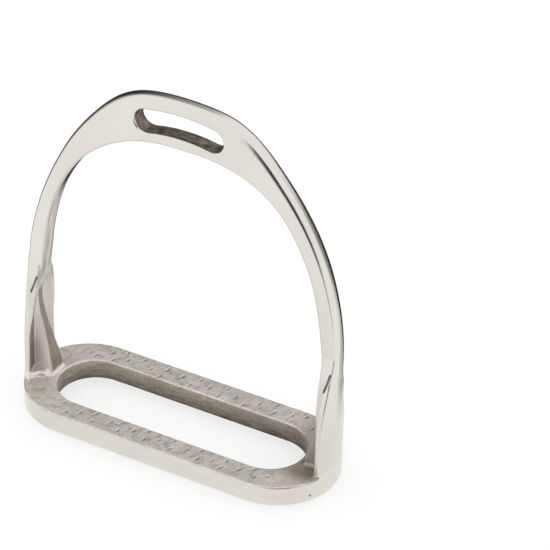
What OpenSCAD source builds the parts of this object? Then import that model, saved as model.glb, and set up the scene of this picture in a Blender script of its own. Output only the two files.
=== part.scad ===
// Stirrup iron: a bow with an eye for the stirrup leather, standing on an
// open, flat tread. Length of the tread is X, front to back is Y, up is Z.
// The underside of the tread lies on z = 0 and its centre is the origin.

/* [Tread] */
// Overall length of the tread, end to end
tread_l = 120; // [112:1:136]
// Width of the tread, front to back
tread_w = 45; // [42:1:50]
// Thickness of the tread
tread_t = 7.8; // [5.6:0.2:9]
// Length of the open window through the tread
window_l = 95.4; // [84:0.2:96]
// Width of the open window
window_w = 26; // [18:1:30]

/* [Bow] */
// Overall height, underside of the tread to the crown of the bow
overall_h = 133.4; // [124:0.2:150]
// Thickness of the bow, front to back
bow_t = 6.6; // [5:0.2:8]
// Width of the flange at the foot of each branch, front to back
flange_w = 17.4; // [12:0.2:20]
// Thickness of the flange on its centre line
flange_t = 3.6; // [2.6:0.2:5]
// Height above the tread at which the flange has run out into the bow
flange_h = 39.8; // [34:0.2:46]
// How far the rib stands in from the flange at the tread
rib_reach = 6.2; // [4:0.2:7.4]
// Width of the rib at the tread
rib_w = 7.2; // [4:0.2:8]

/* [Eye] */
// Length of the eye for the stirrup leather
eye_l = 33.4; // [26:0.2:35]
// Height of the eye
eye_h = 9; // [7:0.2:10]
// Metal left between the eye and the crown of the bow
eye_wall = 4.5; // [4:0.1:6]
// Radius to which the eye is arched
eye_arch_r = 60; // [50:1:90]

/* [Foot joints] */
// Leg of the fillet bead round the foot of each branch
bead = 1.3; // [0.8:0.1:1.6]

/* [Hidden] */
$fn = 96;

over = 1;                            // overrun of solids that cut, trim or join

rise = overall_h - tread_t;          // top of the tread to the crown
flange_x = tread_l / 2 - flange_t;   // inner face of the right flange
flange_inner_h = 0.86 * flange_h;    // height of that face above the tread

paddle_share = 0.6;                  // share of flange_h before it draws in
paddle_power = 0.8;                  // shape of the drawing in
foot_draw = 0.5;                     // half width lost again at the tread
side_steps = 28;                     // steps of the side outline over flange_h

rib_h = 0.82 * flange_h;
rib_tip_half = 0.9;                  // half width of the rib at its top
rib_power = 0.6;                     // shape of its flare front to back
rib_steps = 10;
rib_face_x = flange_x - rib_reach;   // inner face of the right rib at the tread

bead_root = 0.4;                     // depth of the bead inside the wall
bead_lap = 0.2;                      // overlap where runs of bead meet
bead_tip_r = 0.01;                   // top of the cone that turns a corner
bead_trim_h = 10;                    // height of the rim that trims the beads

steel = [0.80, 0.79, 0.76];
cast = [0.56, 0.54, 0.51];
bright = [0.90, 0.89, 0.86];

// Outline of the right half of the bow: [share of half the tread length,
// share of the rise above the tread]. The outer line runs from the crown down
// towards the foot; the inner line runs back up to the middle of the arch.
outer_line = [
    [0, 1], [0.150, 0.999], [0.290, 0.987], [0.418, 0.957], [0.532, 0.908],
    [0.623, 0.853], [0.702, 0.794], [0.775, 0.734], [0.843, 0.671],
    [0.902, 0.608], [0.948, 0.541], [0.980, 0.473], [0.997, 0.403], [1, 0.334]
];
inner_line = [
    [0.915, 0.322], [0.898, 0.369], [0.893, 0.426], [0.880, 0.483],
    [0.857, 0.540], [0.823, 0.595], [0.778, 0.647], [0.718, 0.698],
    [0.647, 0.743], [0.560, 0.784], [0.462, 0.817], [0.355, 0.842],
    [0.240, 0.860], [0.122, 0.868], [0, 0.869]
];
line_steps = 4;                      // smooth points per station

// ---- Outlines ----

// The point that carries a line on past its end: the mirror image of the
// neighbour if the line ends on the centre line, so that it crosses square
function beyond(end, neighbour) =
    end[0] == 0 ? [-neighbour[0], neighbour[1]] : end;

function station(line, i) =
    let (last = len(line) - 1)
    i < 0 ? beyond(line[0], line[1])
    : i > last ? beyond(line[last], line[last - 1])
    : line[i];

// Point at share t between stations k and k + 1 of a Catmull-Rom curve
function curve_point(line, k, t) =
    let (
        before = station(line, k - 1),
        start = line[k],
        end = line[k + 1],
        after = station(line, k + 2)
    )
    0.5 * (2 * start + (end - before) * t
           + (2 * before - 5 * start + 4 * end - after) * t * t
           + (3 * start - before - 3 * end + after) * t * t * t);

function smooth_line(line) = concat(
    [for (k = [0 : len(line) - 2], i = [0 : line_steps - 1])
        curve_point(line, k, i / line_steps)],
    [line[len(line) - 1]]);

function to_size(line) =
    [for (p = line) [p[0] * tread_l / 2, tread_t + p[1] * rise]];

// The points mirrored to the other side of the centre line, in reverse order
function other_side(points) =
    [for (i = [len(points) - 1 : -1 : 0]) [-points[i][0], points[i][1]]];

function both_sides(points) = concat(points, other_side(points));

// Right half of the bow in X and Z, crown to middle of the arch by the foot
function half_bow() = concat(
    to_size(smooth_line(outer_line)),
    [[tread_l / 2, tread_t],
     [flange_x, tread_t],
     [flange_x, tread_t + flange_inner_h]],
    to_size(smooth_line(inner_line)));

// Half width of the bow front to back at height h above the tread: a paddle
// that nearly keeps its width, then draws in to the thickness of the bow
function paddle(h) =
    let (full = flange_w / 2, slim = bow_t / 2, u = h / flange_h)
    u <= paddle_share ? full - foot_draw / 2 * (1 + cos(180 * u / paddle_share))
    : u >= 1 ? slim
    : slim + (full - slim)
        * pow(cos(90 * (u - paddle_share) / (1 - paddle_share)), paddle_power);

// Reach and half width of the rib at share u of its height, 0 at the tread
function rib_in(u) = rib_reach * 0.5 * (1 + cos(180 * u));
function rib_half(u) =
    rib_tip_half + (rib_w / 2 - rib_tip_half) * pow(1 - u, rib_power);

// ---- Shared shapes ----

// Extrudes an outline drawn in X and Z along Y
module along_y(depth) {
    rotate([90, 0, 0]) linear_extrude(height = depth, center = true) children();
}

// Extrudes an outline drawn in Y and Z along X
module along_x(length, center = true) {
    rotate([90, 0, 90]) linear_extrude(height = length, center = center) children();
}

module cylinder_y(x, z, depth, r) {
    translate([x, 0, z]) rotate([90, 0, 0]) cylinder(h = depth, r = r, center = true);
}

// Plan with half-round ends, lying along X
module slot_plan(length, width) {
    end_r = width / 2;
    end_x = length / 2 - end_r;
    for (side = [1, -1])
        translate([side * end_x, 0]) circle(r = end_r);
    square([2 * end_x, width], center = true);
}

// Plan of the tread, which also trims everything that stands on its rim
module rim_plan() {
    slot_plan(tread_l, tread_w);
}

// ---- Bow ----

// The bow seen from the front, as one closed outline
module arch() {
    half = half_bow();
    last = len(half) - 1;
    // each of the two centre points is used once
    along_y(flange_w + 2 * over)
        polygon(concat([for (i = [1 : last]) half[i]],
                       other_side([for (i = [0 : last - 1]) half[i]])));
}

// The bow seen from the side
module side_view() {
    step = flange_h / side_steps;
    front_edge = concat(
        [for (i = [0 : side_steps + 2]) [-paddle(i * step), tread_t + i * step]],
        [[-bow_t / 2, overall_h + over]]);
    along_x(tread_l + 2 * over) polygon(both_sides(front_edge));
}

// Eye for the stirrup leather, arched, with half-round ends
module eye() {
    mid_z = overall_h - eye_wall - eye_h / 2;
    arch_z = mid_z - eye_arch_r;
    end_x = eye_l / 2 - eye_h / 2;
    end_z = arch_z + sqrt(eye_arch_r * eye_arch_r - end_x * end_x);
    intersection() {
        difference() {
            cylinder_y(0, arch_z, bow_t + 4 * over, eye_arch_r + eye_h / 2, $fn = 240);
            cylinder_y(0, arch_z, bow_t + 6 * over, eye_arch_r - eye_h / 2, $fn = 240);
        }
        translate([0, 0, mid_z])
            cube([2 * end_x, bow_t + 8 * over, 6 * eye_h], center = true);
    }
    for (side = [-1, 1])
        cylinder_y(side * end_x, end_z, bow_t + 4 * over, eye_h / 2);
}

// Rib on the inner face of the right flange: it flares towards the tread in
// both views, so it is the overlap of two tapering plates
module rib() {
    shares = [for (i = [0 : rib_steps]) i / rib_steps];
    inner_edge = [for (u = shares) [flange_x - rib_in(u), tread_t + u * rib_h]];
    front_edge = [for (u = shares) [-rib_half(u), tread_t + u * rib_h]];
    intersection() {
        along_y(rib_w + 2 * over)
            polygon(concat(inner_edge,
                           [[flange_x + over, tread_t + rib_h],
                            [flange_x + over, tread_t]]));
        translate([flange_x, 0, 0])
            along_x(4 * rib_reach) polygon(both_sides(front_edge));
    }
}

module bow_solid() {
    difference() {
        union() {
            intersection() {
                arch();
                side_view();
                translate([0, 0, tread_t])
                    linear_extrude(height = overall_h) rim_plan();
            }
            rib();
            mirror([1, 0, 0]) rib();
        }
        eye();
    }
}

module bow() {
    color(steel) bow_solid();
}

// ---- Tread ----

module tread() {
    color(cast)
        difference() {
            linear_extrude(height = tread_t) rim_plan();
            translate([0, 0, -over])
                linear_extrude(height = tread_t + 2 * over)
                    slot_plan(window_l, window_w);
        }
}

// ---- Foot welds ----

// A straight run of fillet bead from the origin along +X, on the floor z = 0
// and on the -Y side of a wall in the plane y = 0
module bead_run(length) {
    along_x(length, center = false)
        polygon([[bead_root, 0], [bead_root, bead], [0, bead], [-bead, 0]]);
}

// The same run turned to lead along -Y, with the bead on its -X side
module bead_run_across(length) {
    rotate([0, 0, -90]) bead_run(length);
}

// Takes the bead round an outer corner
module bead_corner() {
    cylinder(h = bead, r1 = bead, r2 = bead_tip_r);
}

// Fillet bead round the right foot: flange edges, flange face and rib
module foot_weld() {
    flange_y = paddle(0);
    rib_y = rib_w / 2;
    difference() {
        intersection() {
            translate([0, 0, tread_t]) {
                for (m = [0, 1]) mirror([0, m, 0]) {
                    translate([flange_x, -flange_y, 0]) bead_run(flange_t + over);
                    translate([flange_x, -flange_y, 0]) bead_corner();
                    translate([flange_x, -rib_y + bead_lap, 0])
                        bead_run_across(flange_y - rib_y + bead_lap);
                    translate([rib_face_x, -rib_y, 0]) bead_run(rib_reach + bead_lap);
                    translate([rib_face_x, -rib_y, 0]) bead_corner();
                }
                translate([rib_face_x, rib_y, 0]) bead_run_across(rib_w);
            }
            translate([0, 0, tread_t]) linear_extrude(height = bead_trim_h) rim_plan();
        }
        bow_solid();
    }
}

module right_foot_weld() {
    color(bright) foot_weld();
}

module left_foot_weld() {
    color(bright) mirror([1, 0, 0]) foot_weld();
}

bow();
tread();
left_foot_weld();
right_foot_weld();
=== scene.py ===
"""Finished look of a stirrup iron.

X runs along the tread, -Y is the front and Z is up from the floor. The iron is one
smooth implicit solid in millimetres: the bow (a rounded band between an outer and an
inner line, with the eye cut through its crown), a rib and a curved flange at the foot
of each branch, and the tread with its window. Distance functions are negative inside
the metal. The solid is meshed, every vertex is set on the true surface, and the mesh
is parted at the foot into bow and tread. A thin bead covers the fillet of each foot.
"""

import math
from functools import cached_property

import bmesh
import bpy
import numpy as np
import openvdb
from mathutils import Matrix, Vector


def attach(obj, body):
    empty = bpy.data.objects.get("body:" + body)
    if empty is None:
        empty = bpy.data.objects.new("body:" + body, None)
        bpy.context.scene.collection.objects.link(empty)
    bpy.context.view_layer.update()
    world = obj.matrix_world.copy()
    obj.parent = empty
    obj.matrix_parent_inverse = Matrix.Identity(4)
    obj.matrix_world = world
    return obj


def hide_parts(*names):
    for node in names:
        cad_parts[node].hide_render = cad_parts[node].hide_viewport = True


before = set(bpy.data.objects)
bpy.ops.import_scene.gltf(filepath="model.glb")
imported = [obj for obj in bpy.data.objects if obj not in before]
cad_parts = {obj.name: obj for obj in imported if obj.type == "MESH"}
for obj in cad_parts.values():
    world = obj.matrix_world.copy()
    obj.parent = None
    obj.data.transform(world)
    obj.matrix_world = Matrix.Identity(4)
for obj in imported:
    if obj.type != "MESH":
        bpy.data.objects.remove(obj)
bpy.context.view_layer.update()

MM = 0.001

# ---------------------------------------------------------------- dimensions, mm
RISE = 0.45            # height of the stations' zero above the floor
HALF_L = 60.0          # half the tread's length
END_R = 22.5           # radius of the tread's ends
END_X = HALF_L - END_R
TREAD_T = 7.8
WINDOW_R = 13.4
WINDOW_X = 48.0 - WINDOW_R
BOW_HALF_T = 3.27      # half the bow's thickness
OUT_TOP, IN_TOP = 132.93, 115.62    # crown of the outer and inner lines
EYE_ARC_R = 60.0       # the eye is a slot bent along this arc
EYE_ARC_Z = 124.0 + RISE - EYE_ARC_R
EYE_H = 4.5            # half the eye's height
EYE_X = 16.7 - EYE_H   # centre of the eye's round ends
CUT_Z = 8.7            # bow and tread are parted here
UPPER_Z = 57.0         # above this there is only the bow
FOOT_X = 44.0          # the feet lie beyond this
FOOT_Z = 3.0           # each foot starts this high, inside the tread
FADE_H = 6.0           # height over which features of the foot fade out
FILLET = 2.0           # weld between foot and tread
PAD_BLEND = 1.3
STEP = 0.37    # meshing grid

# ------------------------------------------------------------ stations, mm
# The casting is not quite the same left and right, so each side has its own lines.
# (distance from the middle, height) from the top down
OUT_L = [(8.91, 132.58), (17.28, 130.93), (24.65, 126.99), (31.25, 120.86),
         (36.88, 114.15), (41.94, 107.0), (46.2, 99.32), (50.0, 91.29), (53.27, 83.23),
         (55.88, 74.83), (57.91, 66.34), (59.13, 57.63), (59.6, 49.5), (59.5, 44.0),
         (59.4, 37.0), (59.5, 29.0), (59.8, 21.0), (60.0, 13.0), (60.0, 4.0), (60.0, -6.0)]
OUT_R = [(8.89, 132.45), (17.33, 131.08), (24.92, 127.37), (31.7, 121.29),
         (37.53, 114.66), (43.01, 107.7), (47.86, 100.22), (52.03, 92.22), (55.3, 83.98),
         (57.7, 75.34), (59.4, 66.64), (60.3, 57.77), (60.4, 50.5), (60.2, 44.0),
         (60.0, 37.0), (60.0, 29.0), (60.0, 21.0), (60.0, 13.0), (60.0, 4.0), (60.0, -6.0)]
IN_L = [(7.2, 115.46), (14.16, 114.33), (20.88, 112.09), (27.13, 108.84), (32.76, 104.77),
        (37.74, 99.73), (41.77, 94.08), (45.19, 87.86), (47.75, 81.37), (49.69, 74.49),
        (51.15, 67.56), (52.1, 60.43), (52.75, 54.6), (53.4, 50.2), (54.3, 46.3),
        (55.6, 42.6), (56.4, 39.2), (56.3, 35.8), (55.5, 31.0), (54.0, 25.0), (52.2, 18.4),
        (50.9, 13.4), (50.1, 9.0), (49.8, 4.0), (49.8, -2.0), (49.8, -6.0)]
IN_R = [(7.21, 115.61), (14.29, 114.9), (21.32, 113.21), (28.04, 110.39), (34.05, 106.32),
        (39.16, 100.92), (43.09, 94.88), (46.41, 88.44), (49.0, 81.82), (50.98, 74.83),
        (52.4, 67.76), (53.4, 60.52), (54.1, 54.6), (54.55, 50.2), (55.1, 46.3),
        (56.2, 42.6), (57.1, 39.2), (56.9, 35.8), (55.9, 31.0), (54.3, 25.0), (52.4, 18.4),
        (51.0, 13.4), (50.2, 9.0), (49.8, 4.0), (49.8, -2.0), (49.8, -6.0)]
# (height, half width) of the branch and rib
SPINE_W = [(-6, 3.7), (6.8, 3.7), (10, 3.65), (13.4, 3.4), (18.8, 2.6), (24.2, 1.95),
           (28, 1.55), (32.4, 1.15), (36.8, 1.0), (40, 1.25), (43, 2.0), (46, 2.8),
           (48.5, 3.15), (51, BOW_HALF_T), (60, BOW_HALF_T), (140, BOW_HALF_T)]
# (height, half width) of the same where it springs from the flange
ROOT_W = [(-6, 2.9), (7, 2.9), (12.8, 2.95), (19.6, 3.2), (26.3, 3.6), (33.2, 4.15),
          (38, 4.7), (42, 4.6), (46, 4.0), (50, 3.5), (54, BOW_HALF_T), (60, BOW_HALF_T),
          (140, BOW_HALF_T)]
# (height, inner radius) of the flange, which thickens towards its top
PLATE = [(-6, 20.4), (20, 20.4), (26, 20.2), (29, 19.9), (33, 19.3), (38, 18.8), (41, 18.4),
         (44.3, 18.1), (48, 17.7), (52, 17.5), (60, 17.4)]
# (half width, height) along each flange's edge, seen from the side, from the foot up
TOP_END = [(2.7, 54.6), (1.2, 56.0), (-1.2, 56.6), (-4.0, 56.6)]
FRONT = [(8.6, -6.0), (8.55, 6.0), (8.5, 13.0), (8.45, 20.2), (8.24, 26.5), (7.82, 30.5),
         (7.27, 34.4), (6.66, 37.4), (6.04, 40.3), (5.38, 43.2), (4.56, 46.4), (3.9, 49.5),
         (3.4, 52.5)] + TOP_END
BACK_L = [(8.6, -6.0), (8.55, 6.0), (8.45, 12.9), (8.2, 17.8), (7.9, 24.0), (7.5, 28.9),
          (7.0, 34.0), (6.5, 38.2), (5.9, 42.5), (5.3, 46.1), (4.5, 49.5), (3.6, 52.7)] + TOP_END
BACK_R = [(8.6, -6.0), (8.6, 6.0), (8.65, 14.0), (8.7, 20.0), (8.6, 24.0), (8.0, 27.5),
          (7.0, 30.0), (5.8, 33.0), (4.8, 36.5), (4.1, 40.0), (3.6, 44.0), (3.4, 48.0),
          (3.3, 51.5)] + TOP_END
# (height, rounding) of the bow's outer edges across and along Y, then its inner edges
ROUND_ACROSS = [(-6, 1.0), (44, 1.0), (50, 1.3), (60, 1.5), (100, 1.6), (112, 1.8),
                (119, 2.0), (127, 2.4), (140, 2.6)]
ROUND_Y = [(-6, 1.4), (44, 1.4), (50, 1.9), (60, 2.6), (75, 2.9), (105, 2.9), (114, 2.7),
           (120, 2.5), (127, 2.6), (140, 2.8)]
ROUND_INNER = [(-6, 0.6), (34, 0.6), (44, 1.1), (60, 1.4), (80, 1.4), (95, 1.2),
               (110, 0.95), (140, 0.95)]
# (height, lean) of the left flange towards the middle
LEAN_L = [(-6, 0), (14, 0), (22, 0.1), (28, 0.3), (34, 0.5), (39, 0.6), (60, 0.6)]
# (height, blend) between rib and flange
FLANGE_BLEND = np.array([(-6, 0.9), (40, 1.2), (46, 1.2), (52, 0.7), (55.5, 0.05)])
# creases between flange and branch, from the top down: points x, y, z and half width
CREASES = [
    ([(58.75, -4.0, 48.4), (58.4, -4.72, 45.9), (57.85, -5.3, 43.6), (57.1, -5.95, 40.7)], 0.30),
    ([(-54.9, -4.2, 48.2), (-55.45, -4.78, 45.7), (-56.0, -5.28, 43.7), (-56.8, -5.9, 41.1)],
     0.30),
    ([(59.0, 3.7, 43.2), (58.6, 4.6, 37.6), (58.2, 5.9, 33.0), (57.6, 7.3, 29.4)], 0.32)]
PIT = (56.75, -11.65, 2.4)       # a casting pit in the tread's outer wall
# centres of the small chisel marks on the tread, x and y
FRONT_MARKS = [(-42.5, -11.3), (-38.1, -15.1), (-34.6, -19.4), (-30.0, -17.1), (-24.2, -19.3),
               (-24.8, -15.0), (-18.1, -16.4), (-13.7, -19.3), (-14.6, -15.2), (-8.8, -16.8),
               (-4.3, -14.5), (-3.6, -19.2), (1.2, -17.0), (5.9, -14.8), (6.6, -19.5),
               (12.1, -16.8), (16.5, -14.9), (17.5, -19.4), (22.3, -17.6), (26.8, -15.3),
               (26.6, -19.8), (32.6, -17.4), (38.8, -18.3), (42.6, -16.1), (37.0, -14.9)]
BACK_MARKS = [(-43.0, 14.4), (-38.5, 19.1), (-36.4, 14.8), (-33.6, 21.0), (-31.6, 17.3),
              (-26.3, 20.3), (-22.0, 17.0), (-17.2, 14.6), (-16.5, 19.5), (-9.9, 18.6),
              (-5.5, 15.6), (-3.4, 20.3), (1.4, 17.8), (6.2, 15.4), (7.2, 20.2), (11.8, 17.6),
              (16.2, 14.9), (21.0, 18.4), (26.7, 20.7), (27.7, 16.3), (33.9, 18.0),
              (38.7, 19.9), (43.4, 15.2)]


# ------------------------------------------------------------ smooth outlines
def curve(stations, per=20):
    """Dense points on a smooth line through the stations, `per` to each gap."""
    ends = np.array(stations, float)
    padded = np.vstack([2 * ends[0] - ends[1], ends, 2 * ends[-1] - ends[-2]])
    pieces = []
    for k in range(len(padded) - 3):
        level = list(padded[k:k + 4])
        # knots by the square root of the chord keep uneven stations smooth
        knots = [0.0]
        for i in range(3):
            knots.append(knots[-1] + math.sqrt(np.hypot(*(level[i + 1] - level[i]))))
        t = np.linspace(knots[1], knots[2], per, endpoint=False)[:, None]

        def between(start, end, i, j):
            gap = knots[j] - knots[i]
            return (knots[j] - t) / gap * start + (t - knots[i]) / gap * end

        level = [between(level[i], level[i + 1], i, i + 1) for i in range(3)]
        level = [between(level[i], level[i + 1], i, i + 2) for i in range(2)]
        pieces.append(between(level[0], level[1], 1, 2))
    pieces.append(padded[-2][None, :])
    return np.vstack(pieces)


def smooth_line(line, passes):
    """Evens out the curvature of an open line; its two ends stay."""
    line = line.copy()
    for _ in range(passes):
        line[1:-1] = 0.25 * line[:-2] + 0.5 * line[1:-1] + 0.25 * line[2:]
    return line


def bow_line(left, right, top):
    """The line from the left foot over the crown to the right foot."""
    stations = [(-x, z) for x, z in left[::-1]] + [(0.0, top)] + list(right)
    return smooth_line(curve([(x, z + RISE) for x, z in stations]), passes=90)


def cubic_weights(t):
    return (0.5 * (-t + 2 * t * t - t ** 3), 0.5 * (2 - 5 * t * t + 3 * t ** 3),
            0.5 * (t + 4 * t * t - 3 * t ** 3), 0.5 * (-t * t + t ** 3))


class LineDistance:
    """Signed distance to a line in a plane, tabulated and read back bicubically.
    Positive on the left of the line's direction of travel."""

    CHUNK = 4000

    def __init__(self, line, low, high, step=0.5):
        self.low = np.array(low, float)
        self.step = step
        count = np.ceil((np.array(high) - self.low) / step).astype(int) + 1
        axes = [self.low[i] + step * np.arange(count[i]) for i in (0, 1)]
        grid_x, grid_y = np.meshgrid(axes[0], axes[1], indexing="ij")
        points = np.stack([grid_x.ravel(), grid_y.ravel()], 1)
        starts = line[:-1]
        spans = line[1:] - starts
        span_sq = (spans * spans).sum(1)
        normals = np.stack([-spans[:, 1], spans[:, 0]], 1) / np.sqrt(span_sq)[:, None]
        last = len(spans) - 1
        out = np.empty(len(points))
        for first in range(0, len(points), self.CHUNK):
            here = points[first:first + self.CHUNK]
            # nearest dense point first, then the two pieces that touch it
            near = ((here[:, None, 0] - line[None, :, 0]) ** 2
                    + (here[:, None, 1] - line[None, :, 1]) ** 2).argmin(1)
            best = np.full(len(here), 1e18)
            value = np.zeros(len(here))
            for k in (np.clip(near - 1, 0, last), np.clip(near, 0, last)):
                offset = here - starts[k]
                t = np.clip((offset * spans[k]).sum(1) / span_sq[k], 0, 1)
                gap = offset - t[:, None] * spans[k]
                gap_sq = (gap * gap).sum(1)
                side = (offset * normals[k]).sum(1)
                signed = np.sqrt(gap_sq) * np.where(side >= 0, 1, -1)
                value = np.where(gap_sq < best, signed, value)
                best = np.minimum(best, gap_sq)
            out[first:first + self.CHUNK] = value
        self.table = out.reshape(count)

    def __call__(self, x, y):
        rows, columns = self.table.shape
        at_x = (x - self.low[0]) / self.step
        at_y = (y - self.low[1]) / self.step
        cell_x = np.clip(np.floor(at_x).astype(int), 1, rows - 3)
        cell_y = np.clip(np.floor(at_y).astype(int), 1, columns - 3)
        weights_x = cubic_weights(at_x - cell_x)
        weights_y = cubic_weights(at_y - cell_y)
        flat = self.table.ravel()
        base = (cell_x - 1) * columns + cell_y - 1
        out = 0
        for i in range(4):
            row = 0
            for j in range(4):
                row = row + weights_y[j] * flat[base + i * columns + j]
            out = out + weights_x[i] * row
        return out


def profile(stations):
    """A smooth value against height, read from a fine blurred table."""
    blur, reach = 4.5, 15      # in steps of the table
    stations = np.array(stations, float)
    heights = np.arange(-8.0, 142.0, 0.25)
    values = np.interp(heights, stations[:, 0] + RISE, stations[:, 1])
    kernel = np.exp(-0.5 * (np.arange(-reach, reach + 1) / blur) ** 2)
    kernel /= kernel.sum()
    values = np.convolve(np.pad(values, reach, mode="edge"), kernel, mode="valid")
    return lambda z: np.interp(z, heights, values)


def side_table(stations):
    line = smooth_line(curve([(y, z + RISE) for y, z in stations]), passes=40)
    return LineDistance(line, (-3, -7), (14, 60), step=0.25)


spine_w, root_w, plate_r, round_across, round_y, round_inner, lean_left = (
    profile(table) for table in
    (SPINE_W, ROOT_W, PLATE, ROUND_ACROSS, ROUND_Y, ROUND_INNER, LEAN_L))
outer_line = LineDistance(bow_line(OUT_L, OUT_R, OUT_TOP), (-66, -7), (66, 140))
inner_line = LineDistance(bow_line(IN_L, IN_R, IN_TOP), (-66, -7), (66, 140))
front_edge, back_edge_l, back_edge_r = (side_table(table) for table in (FRONT, BACK_L, BACK_R))


# ------------------------------------------------------------ field tools
def smooth(t):
    return t * t * (3 - 2 * t)


def fade(z, top):
    """0 above `top`, 1 from FADE_H below it."""
    return np.clip((top - z) / FADE_H, 0, 1)


def corner(face_a, face_b, radius):
    """Distance to the outside of two faces that meet in a rounded edge.
    The radius may be a pair, one along each face."""
    radius_a, radius_b = radius if isinstance(radius, tuple) else (radius, radius)
    u, v = (face_a + radius_a) / radius_a, (face_b + radius_b) / radius_b
    both = (u > 0) & (v > 0)
    u_sq, v_sq = np.maximum(u, 1e-9) ** 2.0, np.maximum(v, 1e-9) ** 2.0
    edge = np.where(both, (u_sq + v_sq) ** 0.5, np.maximum(u, v)) - 1
    # scale back to millimetres along whichever face rules
    share = u_sq / (u_sq + v_sq)
    return edge * np.where(both, share * radius_a + (1 - share) * radius_b,
                           np.where(u > v, radius_a, radius_b))


def smooth_min(a, b, width):
    mixed = np.maximum(width - np.abs(a - b), 0) / width
    return np.minimum(a, b) - mixed * mixed * mixed * width / 6


def line_dist(x, y, z, line):
    """Distance to the open line through the given points."""
    nearest = np.full(len(x), 99.0)
    for a, b in zip(line[:-1], line[1:]):
        d = b - a
        t = np.clip(((x - a[0]) * d[0] + (y - a[1]) * d[1] + (z - a[2]) * d[2]) / (d @ d), 0, 1)
        nearest = np.minimum(nearest, np.sqrt(
            (x - a[0] - t * d[0]) ** 2 + (y - a[1] - t * d[1]) ** 2 + (z - a[2] - t * d[2]) ** 2))
    return nearest


def slot_radius(x, y, centre_x):
    """Distance from the line joining two end centres at +-centre_x."""
    return np.hypot(np.maximum(np.abs(x) - centre_x, 0), y)


def rim_dist(x, y):
    return slot_radius(x, y, END_X) - END_R


def gradient(field, points, delta=0.02, value=None):
    if value is None:
        value = field(*points.T)
    out = np.empty_like(points)
    for i in range(3):
        shift = np.zeros(3)
        shift[i] = delta
        out[:, i] = (field(*(points + shift).T) - value) / delta
    return out


def to_surface(field, points, rounds=3, cap=0.4):
    """Walks points down the gradient on to the surface, `cap` mm a step at most."""
    for _ in range(rounds):
        value = field(*points.T)
        slope = gradient(field, points, value=value)
        slope_sq = np.maximum((slope * slope).sum(1), 0.05)
        points = points - slope * np.clip(value / slope_sq, -cap, cap)[:, None]
    return points


def noise2(x, y, scale, seed):
    """Smooth value noise on a repeating lattice, from -1 to 1."""
    size = 64
    lattice = np.random.default_rng(seed).uniform(-1, 1, (size, size))
    at_x, at_y = x / scale + 100.0, y / scale + 100.0
    cell_x, cell_y = np.floor(at_x).astype(int), np.floor(at_y).astype(int)
    u, v = smooth(at_x - cell_x), smooth(at_y - cell_y)

    def knot(i, j):
        return lattice[(cell_x + i) % size, (cell_y + j) % size]

    return ((knot(0, 0) * (1 - u) + knot(1, 0) * u) * (1 - v)
            + (knot(0, 1) * (1 - u) + knot(1, 1) * u) * v)


# ------------------------------------------------------------ bow
def eye_dist(x, z):
    """Signed distance to the eye, negative inside the hole."""
    end_z = EYE_ARC_Z + math.sqrt(EYE_ARC_R ** 2 - EYE_X ** 2)
    end_angle = math.atan2(EYE_X, end_z - EYE_ARC_Z)
    x = np.abs(x)
    angle = np.arctan2(x, z - EYE_ARC_Z)
    arc = np.abs(np.hypot(x, z - EYE_ARC_Z) - EYE_ARC_R)
    end = np.hypot(x - EYE_X, z - end_z)
    return np.where(np.abs(angle) < end_angle, arc, end) - EYE_H


def band(x, z, inner, half_w, flank, inner_share):
    """The rounded band between outer and inner line; `flank` is the distance out of
    its sides, and the inner rounding takes at most `inner_share` of the half width."""
    return np.maximum(
        corner(outer_line(x, z), flank, (round_across(z), np.minimum(round_y(z), half_w))),
        corner(-inner, flank, np.minimum(round_inner(z), inner_share * half_w)))


def upper_bow(x, y, z):
    """The bow above its flanges."""
    half_w = spine_w(z)
    flank = np.abs(y) - half_w
    out = band(x, z, inner_line(x, z), half_w, flank, inner_share=0.6)
    if z.max() > 105:
        # the eye's walls bulge a little between the faces
        wall = -eye_dist(x, z) - 0.6 * (1 - (y / 3.3) ** 2)
        out = np.maximum(out, corner(wall, flank, 0.5))
    return out


# ------------------------------------------------------------ foot of each branch
def plain_foot(x, y, z):
    """Rib and curved flange, without the creases."""
    inner = inner_line(x, z)
    # the edge tables are read no further out than they reach
    edge_y = np.minimum(np.abs(y), 13.5)
    edge_z = np.minimum(z, 58.0)
    side = np.where(y < 0, -front_edge(edge_y, edge_z),
                    np.where(x < 0, -back_edge_l(edge_y, edge_z), -back_edge_r(edge_y, edge_z)))
    # the flange is hollow, out to radius 20, between the rib and its own thick edge
    edge_r = plate_r(z)
    hollow = smooth(fade(z, 46.0))
    from_edge = smooth(np.clip((-side - 0.8) / 1.7, 0, 1))
    inner_r = edge_r + np.maximum(20.0 - edge_r, 0) * hollow * from_edge
    # the rib's flanks fan out from its edge to where it springs from the flange
    depth = np.maximum(inner + (inner_r - slot_radius(x, y, END_X)), 0.8)
    fan = np.where(inner > 0, np.clip(inner / depth, 0, 1), 0) * fade(z, 48.0)
    half_w = spine_w(z) + (root_w(z) - spine_w(z)) * fan
    flank = (np.abs(y) - half_w) * 0.92      # the flanks slope, so distances shrink
    rib = band(x, z, inner, half_w, flank, inner_share=0.55)
    rim = rim_dist(np.where(x < 0, x - lean_left(z), x), y)
    edge_round = 0.45 + 0.5 * np.clip((z - 42) / 7, 0, 1)
    flange = np.maximum(corner(rim, side, 0.75),
                        corner(inner_r - (rim + END_R), side, np.minimum(edge_round, 0.95)))
    out = smooth_min(rib, flange, np.interp(z, *FLANGE_BLEND.T))
    # the outer face stays flush with the tread's rim
    flush = fade(z, 50)
    return np.maximum(out, rim * flush - 4.0 * (1 - flush))


def crease_path(points):
    """A crease's line laid on the surface of the foot."""
    path = np.array(points, float)
    path[:, 2] += RISE
    t = np.linspace(0, len(path) - 1, 13)
    path = np.stack([np.interp(t, np.arange(len(path)), path[:, i]) for i in range(3)], 1)
    return to_surface(plain_foot, path, rounds=6, cap=0.6)


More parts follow.
